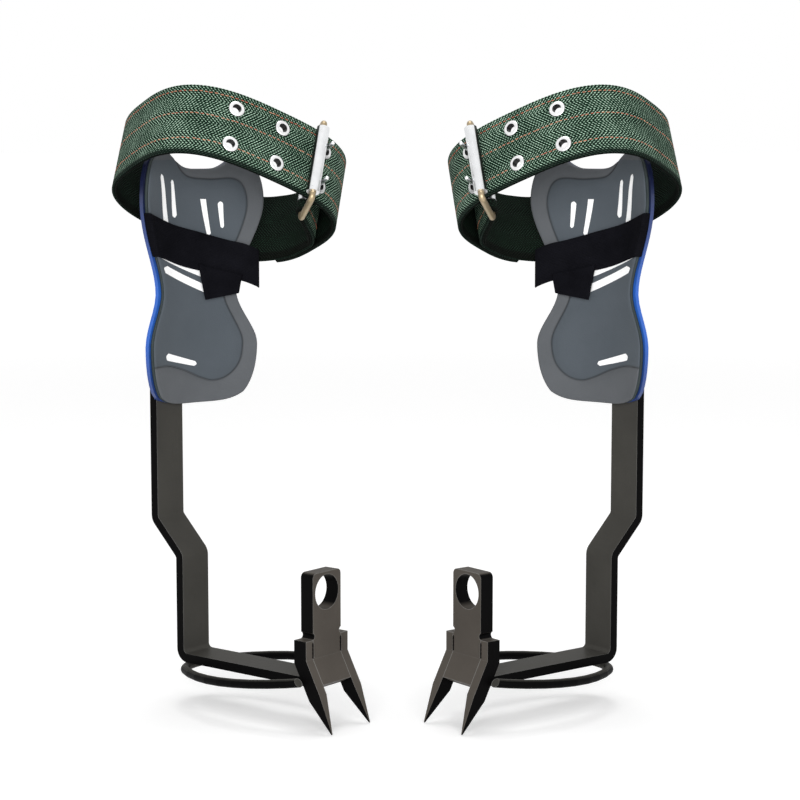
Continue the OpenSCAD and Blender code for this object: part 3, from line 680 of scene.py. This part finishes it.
def half_at(v):
    """Half the cuff's width, in degrees, at a share of its height."""
    if v < LOBE_LOW:
        return LOWER_HALF * math.sqrt(1 - 0.4 * ((LOBE_LOW - v) / LOBE_LOW) ** 2)
    if v < WAIST_AT:
        return mix(LOWER_HALF, WAIST_HALF, (v - LOBE_LOW) / (WAIST_AT - LOBE_LOW))
    if v < LOBE_HIGH:
        return mix(WAIST_HALF, UPPER_HALF, (v - WAIST_AT) / (LOBE_HIGH - WAIST_AT))
    return UPPER_HALF * math.sqrt(1 - 0.38 * ((v - LOBE_HIGH) / (1 - LOBE_HIGH)) ** 2)


def cuff_angle(u, v):
    return CUFF_TURN - UPPER_TURN * ease((v - WAIST_AT) / (LOBE_HIGH - WAIST_AT)) + u * half_at(v)


def cuff_height(u, v):
    scoop = SCOOP * math.exp(-((u * half_at(v) - SCOOP_AT) / SCOOP_WIDE) ** 4) * v ** 10
    return (CUFF_Z + CUFF_H * v - scoop
            - CORNER_DROP * u ** 6 * v ** 10 + CORNER_RISE * u ** 4 * (1 - v) ** 10)


def polar(r, a, z=0.0):
    return Vector((AXIS_X - r * math.cos(rad(a)), r * math.sin(rad(a)), z))


def flat_mm(u, v):
    """A place on the pad, unrolled."""
    return Vector((rad(u * half_at(v)) * CALF_R, cuff_height(u, v)))


LINE_MM = [flat_mm(u, min(v, 1.0)) for u, v in spline_points(LINE, 8)]


def line_gap(p):
    best = math.inf
    for a, b in zip(LINE_MM, LINE_MM[1:]):
        d = b - a
        f = max(0.0, min(1.0, (p - a).dot(d) / max(1e-9, d.length_squared)))
        best = min(best, (a + d * f - p).length)
    return best


def edge_gap(u, v):
    return min((1 - abs(u)) * rad(half_at(v)) * CALF_R, v * CUFF_H, (1 - v) * CUFF_H)


def inside_line(p):
    """True for a place on the near side of the sewn line, by crossing count towards the far side."""
    hits = 0
    for a, b in zip(LINE_MM, LINE_MM[1:]):
        if (a.y > p.y) != (b.y > p.y):
            x = a.x + (p.y - a.y) / (b.y - a.y) * (b.x - a.x)
            hits += x > p.x
    return hits % 2 == 1


def swell(u, v, gap):
    """How far the facing stands proud, in millimetres: most in both lobes, least under the strap."""
    lobes = sum(math.exp(-((v - at) / wide) ** 2) for at, wide in SWELLS)
    crown = (1 - u ** 4) * (SWELL_LEAST + SWELL_GAIN * lobes)
    return crown * (1 - math.exp(-(gap / LINE_RUN) ** 2)) * min(1.0, edge_gap(u, v) / EDGE_RUN)


def pad_grid(nu, nv):
    """Shares of half width and height, closer together towards the edges."""
    us = [math.sin(math.pi / 2 * (2 * i / nu - 1)) for i in range(nu + 1)]
    us = [0.45 * s + 0.55 * (2 * i / nu - 1) for i, s in enumerate(us)]
    vs = [0.5 - 0.5 * math.cos(math.pi * i / nv) for i in range(nv + 1)]
    vs = [0.4 * s + 0.6 * i / nv for i, s in enumerate(vs)]
    return us, vs


def pad_piece(side, name, back_r, face_r, round_by, nu, nv, slot, faced):
    """One layer of the pad, its face's edges rounded. The facing also swells and has its sewn line."""
    us, vs = pad_grid(nu, nv)
    front, back, flat, lines, bands = [], [], [], [], []
    for v in vs:
        for u in us:
            q = flat_mm(u, v)
            fall = max(0.0, 1 - edge_gap(u, v) / ROUND_RUN)
            r = face_r + round_by * (1 - math.sqrt(max(0.0, 1 - fall ** 2)))
            gap, band = FAR_OFF, 0.0
            if faced:
                gap = line_gap(q)
                r += GROOVE * math.exp(-(gap / GROOVE_WIDE) ** 2) - swell(u, v, gap)
                band = 0.0 if inside_line(q) else 1.0
            angle, height = cuff_angle(u, v), cuff_height(u, v)
            front.append(polar(r, angle, height))
            back.append(polar(back_r, angle, height))
            flat.append((q.x * MM, q.y * MM))
            lines.append(math.exp(-(gap / DARK_WIDE) ** 2))
            bands.append(band)
    plain = [0.0] * len(back)
    obj = make(name, side, front + back, two_sheets(nu, nv), flat * 2, slot, [name],
               attrs={"line": lines + plain, "band": bands + plain})
    return obj


def prints(side):
    """The printed flashes, each a thin patch with rounded ends that follows the facing."""
    n, m, proud = 20, 4, 0.14
    points, faces, uvs = [], [], []
    for start, end, w0, w1 in PRINTS:
        base = len(points)
        a, b = flat_mm(*start), flat_mm(*end)
        d = (b - a).normalized()
        side_dir = Vector((-d.y, d.x))
        for i in range(n + 1):
            f = i / n
            w = w0 + (w1 - w0) * f
            near_end = min(f, 1 - f) * (b - a).length
            w *= math.sqrt(max(0.04, 1 - max(0.0, 1 - near_end / (w * 0.5)) ** 2))
            for j in range(m + 1):
                q = a + (b - a) * f + side_dir * ((j / m - 0.5) * w)
                v = (q.y - CUFF_Z) / CUFF_H
                u = q.x / (rad(half_at(v)) * CALF_R)
                r = CALF_R - swell(u, v, line_gap(flat_mm(u, v))) - proud
                points.append(polar(r, cuff_angle(u, v), q.y))
                uvs.append((q.x * MM, q.y * MM))
        for i in range(n):
            for j in range(m):
                k = base + i * (m + 1) + j
                faces.append((k, k + 1, k + m + 2, k + m + 1))
    return make("pad_print", side, points, faces, uvs, "grey_facing", look="print")


# The hook-and-loop strap

def strap_height(y):
    return STRAP_Z - STRAP_FALL * (y - AXIS_Y)


def beside(r, y):
    """A place at a distance from the calf's axis, given by how far along it is."""
    return Vector((AXIS_X - math.sqrt(r * r - y * y), y, 0.0))


def pad_edge(z):
    return SHELL_IN * math.sin(rad(cuff_angle(-1, (z - CUFF_Z) / CUFF_H)))


def strap_line(row, n):
    """The strap's middle line at a height of row times its half width, n points to a span.

    Its z is only how far the far end drops. It starts beside the pad's edge and ends past the other one.
    """
    edge = pad_edge(STRAP_Z)
    for _ in range(5):
        edge = pad_edge(strap_height(edge - STRAP_CORNER) + row * STRAP_W / 2)
    y = edge - STRAP_CORNER
    first = math.degrees(math.asin((edge + 3) / STRAP_R))
    anchor = [beside(SHELL_IN - SEAT, y), beside(CALF_R + 1.8, y), beside(CALF_R + 0.2, y),
              beside(STRAP_R + 0.5, y + 0.3), beside(STRAP_R, y + 1.2)]
    anchor += [polar(STRAP_R, first + (STRAP_FAR - first) * k / 8) for k in range(9)]
    anchor += [polar(STRAP_R, STRAP_FAR + 4.5, -1), polar(CALF_R + 0.2, STRAP_FAR + 8, -2),
               polar(CALF_R + 1.6, STRAP_FAR + 9, -2.5)]
    return [Vector(p) for p in spline_points(anchor, n)]


def hook_strap(side):
    """The strap across the pad, slightly wavy along its edges."""
    half = STRAP_W / 2
    wavy, wave_run, dented, dent_run = 0.28, 7.0, 0.16, 4.3
    profile = tape_profile(half, STRAP_T / 2 - 0.06, 24)
    lines = [strap_line(z / half, 8) for z, _ in profile]
    last = len(lines[0]) - 1
    rings, uvs = [], []
    for i, total in enumerate(lengths_along(strap_line(0, 8))):
        free = min(1.0, i / 30, (last - i) / 16)
        ring = []
        for (z, off), line in zip(profile, lines):
            p = line[i]
            d = line[min(last, i + 1)] - line[max(0, i - 1)]
            o = Vector((d.y, -d.x, 0)).normalized()
            wave = wavy * math.sin(total / wave_run) * (abs(z) / half) ** 3
            dent = dented * math.sin(total / dent_run + z / 5.0) * free
            ring.append(Vector((p.x, p.y, strap_height(p.y) + p.z + z + wave))
                        + o * (off + dent * (1 if off > 0 else 0.6)))
            uvs.append((total * MM, z * MM))
        rings.append(ring)
    points, faces = rings_to_mesh(rings)
    return make("hook_strap", side, points, faces, uvs, "black_hook", ["hook_strap"])


def strap_flap(side):
    """Loose end of the strap: its foot lifts a little off the pad."""
    nu, nv = 24, 20
    face = STRAP_R - STRAP_T / 2 - SEAT
    back, front, uvs = [], [], []
    for j in range(nv + 1):
        f = j / nv
        for i in range(nu + 1):
            s = i / nu
            a = FLAP_A0 + (FLAP_A1 - FLAP_A0) * (s * (1 - f) + (0.12 + 0.8 * s) * f)
            top = strap_height(polar(face, a).y) - STRAP_W / 2 + FLAP_TUCK
            z = top + (-FLAP_L + 10 * s) * f
            lift = 2.2 * f ** 2 * (1 - 0.5 * s) + 0.25 * math.sin(9 * s + 3 * f) * f
            side_thin = math.sqrt(min(1.0, 0.35 + min(s, 1 - s) * STRAP_W / 1.2))
            foot_thin = math.sqrt(min(1.0, 0.35 + (1 - f) * 16))
            back.append(polar(face - lift, a, z))
            front.append(polar(face - lift - (STRAP_T - 0.2) * side_thin * foot_thin, a, z))
            uvs.append((i / (nu + 1) * STRAP_W * MM, f * 0.03))
    # The back sheet comes first here, so every face is turned over
    faces = [tuple(reversed(f)) for f in two_sheets(nu, nv)]
    return make("strap_flap", side, back + front, faces, uvs * 2, "black_hook", ["strap_flap"])


# Welds

# Beads as two ends in the climber's own frame and a radius: the spikes to the head, and the head to the bar
WELDS = [((x, y, z), (x, y, 24.5), 0.9) for y in (-13.9, 13.9) for x, z in ((105.9, 12), (116.1, 14))]
WELDS += [((105.8, -12, 0.2), (105.8, 12, 0.2), 1.1)]


def welds(side):
    """Beads of rippled weld metal."""
    points, faces, uvs = [], [], []
    sides, step, ripple, end_share = 10, 0.8, 0.16, 0.45
    turns = [2 * math.pi * k / sides for k in range(sides)]
    for start, end, r in WELDS:
        a, b = Vector(start), Vector(end)
        n = max(4, int((b - a).length / step))
        path = [a.lerp(b, i / n) for i in range(n + 1)]
        rings = []
        for i, p in enumerate(path):
            d = (path[min(n, i + 1)] - path[max(0, i - 1)]).normalized()
            e = d.orthogonal().normalized()
            f = d.cross(e)
            w = r * (1 + ripple * math.sin(i * 1.9)) * (end_share if i in (0, n) else 1)
            rings.append([p + e * (w * math.cos(g)) + f * (w * math.sin(g)) for g in turns])
            uvs += [(i * MM, k * MM) for k in range(sides)]
        base = len(points)
        bead, skin = rings_to_mesh(rings)
        points += bead
        faces += [tuple(base + v for v in f) for f in skin]
    return make("weld_beads", side, points, faces, uvs, "black_steel", look=f"{side}_head")


# Building both climbers

for side in SIDES:
    between = BELT_T / 2 - WEB_T
    belt_layer(side, "calf_belt", between + PLY_GAP, BELT_T / 2, "green_webbing", dip=dimple)
    belt_layer(side, "belt_lining", -BELT_T / 2, between - PLY_GAP, "dark_webbing")
    stitches(side)
    belt_fold(side)
    pad_piece(side, "pad_foam", SHELL_IN - SEAT, CALF_R + FACING_T + SEAT, round_by=0.5, nu=40, nv=60,
              slot="dark_foam", faced=False)
    pad_piece(side, "pad_facing", CALF_R + FACING_T, CALF_R, round_by=0.8, nu=130, nv=190,
              slot="grey_facing", faced=True)
    prints(side)
    hook_strap(side)
    strap_flap(side)
    welds(side)

slots = {s["node"]: s["material_slot"] for s in frame["record"]["subparts"]}
for name, obj in frame["nodes"].items():
    side, piece = name.split("_", 1)
    if slots[name] == "black_steel":
        look = f"{side}_iron" if piece in ("leg_iron", "foot_ring") else f"{side}_head"
    else:
        look = {"eyelets": "eyelet", "buckle_roller": f"{side}_roller"}.get(piece, slots[name])
    obj.data.materials.clear()
    obj.data.materials.append(MAT[look])


# Floor, world and lamps

FLOOR_HALF, FLOOR_Z = 60, -0.0006
# The floor's glow under the object, its rise to a metre, and its most
GLOW_NEAR, GLOW_RISE, GLOW_FAR = 0.30, 0.12, 0.68
WORLD_LEVEL = 0.38


def seen_plainly(tree):
    """1 for what the camera sees, also in metal and through glass, and 0 for light on the object."""
    rays = tree.nodes.new("ShaderNodeLightPath").outputs
    out = rays["Is Camera Ray"]
    for kind in ("Is Glossy Ray", "Is Transmission Ray"):
        either = tree.nodes.new("ShaderNodeMath")
        either.operation = "MAXIMUM"
        tree.links.new(out, either.inputs[0])
        tree.links.new(rays[kind], either.inputs[1])
        out = either.outputs[0]
    return out


corners = [(x * FLOOR_HALF, y * FLOOR_HALF, FLOOR_Z) for x, y in ((-1, -1), (1, -1), (1, 1), (-1, 1))]
floor_mesh = bpy.data.meshes.new("floor")
floor_mesh.from_pydata(corners, [], [(0, 1, 2, 3)])
floor = bpy.data.objects.new("floor", floor_mesh)
bpy.context.scene.collection.objects.link(floor)
floor_look = Nodes("floor")
floor_look.set(Base_Color=(0.86, 0.86, 0.86, 1), Roughness=0.9, Specular_IOR_Level=0.1)
away = floor_look.node("ShaderNodeVectorMath", {0: floor_look.place()}, operation="LENGTH").outputs["Value"]
paler = floor_look.math("MULTIPLY_ADD", away, GLOW_RISE, GLOW_NEAR)
paler = floor_look.math("MINIMUM", paler, GLOW_FAR)
glow = floor_look.node("ShaderNodeEmission", {"Color": (1, 1, 1, 1), "Strength": paler})
both = floor_look.node("ShaderNodeAddShader", {0: floor_look.shader.outputs[0], 1: glow.outputs[0]})
seen = seen_plainly(floor_look.tree)
pick = floor_look.node("ShaderNodeMixShader", {0: seen, 1: floor_look.shader.outputs[0], 2: both.outputs[0]})
floor_look.tree.links.new(pick.outputs[0], floor_look.tree.nodes["Material Output"].inputs["Surface"])
floor_mesh.materials.append(floor_look.mat)

world = bpy.data.worlds.new("world")
world.use_nodes = True
bpy.context.scene.world = world
back = world.node_tree.nodes["Background"]
back.inputs["Color"].default_value = (1, 1, 1, 1)
level = world.node_tree.nodes.new("ShaderNodeMath")
level.operation = "MULTIPLY_ADD"
level.inputs[1].default_value = 1 - WORLD_LEVEL
level.inputs[2].default_value = WORLD_LEVEL
world.node_tree.links.new(seen_plainly(world.node_tree), level.inputs[0])
world.node_tree.links.new(level.outputs[0], back.inputs["Strength"])


def lamp(name, at, to, size, power):
    data = bpy.data.lights.new(name, "AREA")
    data.shape = "DISK"
    data.size = size
    data.energy = power
    obj = bpy.data.objects.new(name, data)
    obj.location = at
    obj.rotation_euler = (Vector(to) - Vector(at)).to_track_quat("-Z", "Y").to_euler()
    bpy.context.scene.collection.objects.link(obj)


lamp("key_left", at=(-0.35, -1.8, 0.6), to=(0, 0, 0.25), size=0.8, power=16)
lamp("key_right", at=(0.35, -1.8, 0.6), to=(0, 0, 0.25), size=0.8, power=16)
lamp("top", at=(0, 0.4, 1.8), to=(0, 0, 0.2), size=1.0, power=12)
